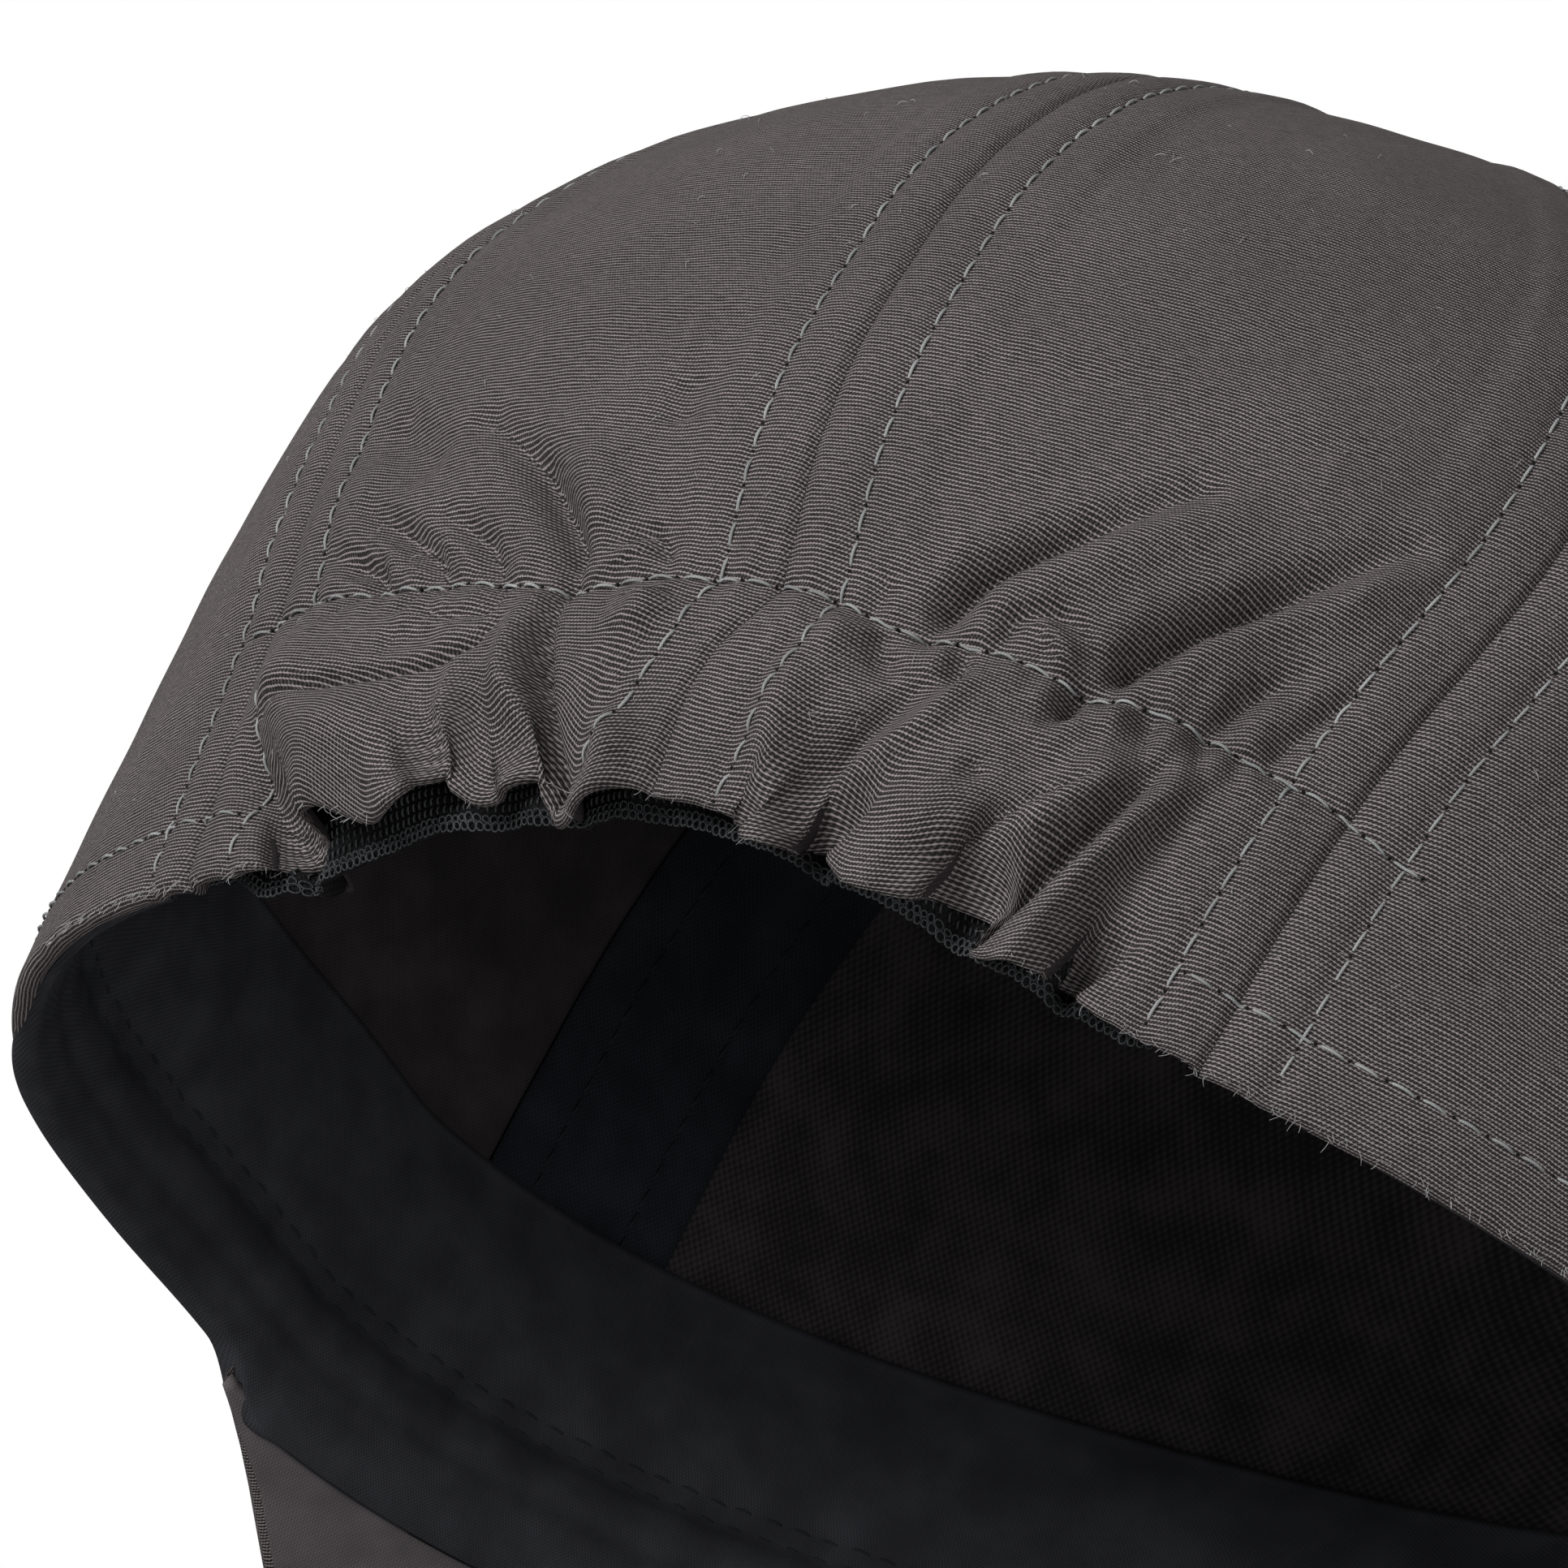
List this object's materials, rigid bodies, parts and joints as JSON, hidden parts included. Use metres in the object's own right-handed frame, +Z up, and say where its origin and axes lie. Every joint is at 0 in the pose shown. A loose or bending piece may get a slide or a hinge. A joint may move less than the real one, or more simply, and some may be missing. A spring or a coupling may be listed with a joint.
{
  "type": "soft cap",
  "caption": "Soft panelled cap with a curved visor and a gathered, elasticated back that stretches open to let a head in.",
  "frame": {"origin": "centre of the head opening, level with the hem at the sides", "axes": "+Z up through the top button, +Y towards the back of the head, +X towards the wearer's left"},
  "size_m": [0.176, 0.235, 0.1472],
  "materials": {
    "crown_cloth": "ribbed charcoal cloth",
    "visor_underside_cloth": "plain dark grey cloth",
    "stiffener_mesh": "open stiff mesh",
    "seam_tape": "plain woven tape",
    "knitted_elastic": "knitted elastic with a looped edge",
    "sweatband_felt": "soft felt",
    "sweatband_cloth": "soft dark jersey",
    "visor_board_plastic": "moulded sheet",
    "button_metal": "pressed sheet"
  },
  "bodies": {
    "crown": {"front_panel": "crown_cloth", "side_panel_left": "crown_cloth", "side_panel_right": "crown_cloth", "front_stiffener": "stiffener_mesh", "seam_tape_rear_left": "seam_tape", "seam_tape_rear_right": "seam_tape", "seam_tape_front_left": "seam_tape", "seam_tape_front_right": "seam_tape", "sweatband_padding": "sweatband_felt", "sweatband_face": "sweatband_cloth", "visor_board": "visor_board_plastic", "visor_upper_cover": "crown_cloth", "visor_lower_cover": "visor_underside_cloth", "button_cover": "crown_cloth", "button_shell": "button_metal", "button_backing": "button_metal"},
    "back": {"rear_panel_left": "crown_cloth", "rear_panel_right": "crown_cloth", "channel_facing_left": "crown_cloth", "channel_facing_right": "crown_cloth", "elastic_band": "knitted_elastic", "seam_tape_centre_back": "seam_tape"}
  },
  "joints": [
    {"name": "back_stretch", "type": "hinge", "parent": "crown", "child": "back", "pos_m": [0, 0.005, 0.118], "axis": [1, 0, 0], "range_deg": [0, 8], "stiffness_Nm_per_rad": 5}
  ]
}
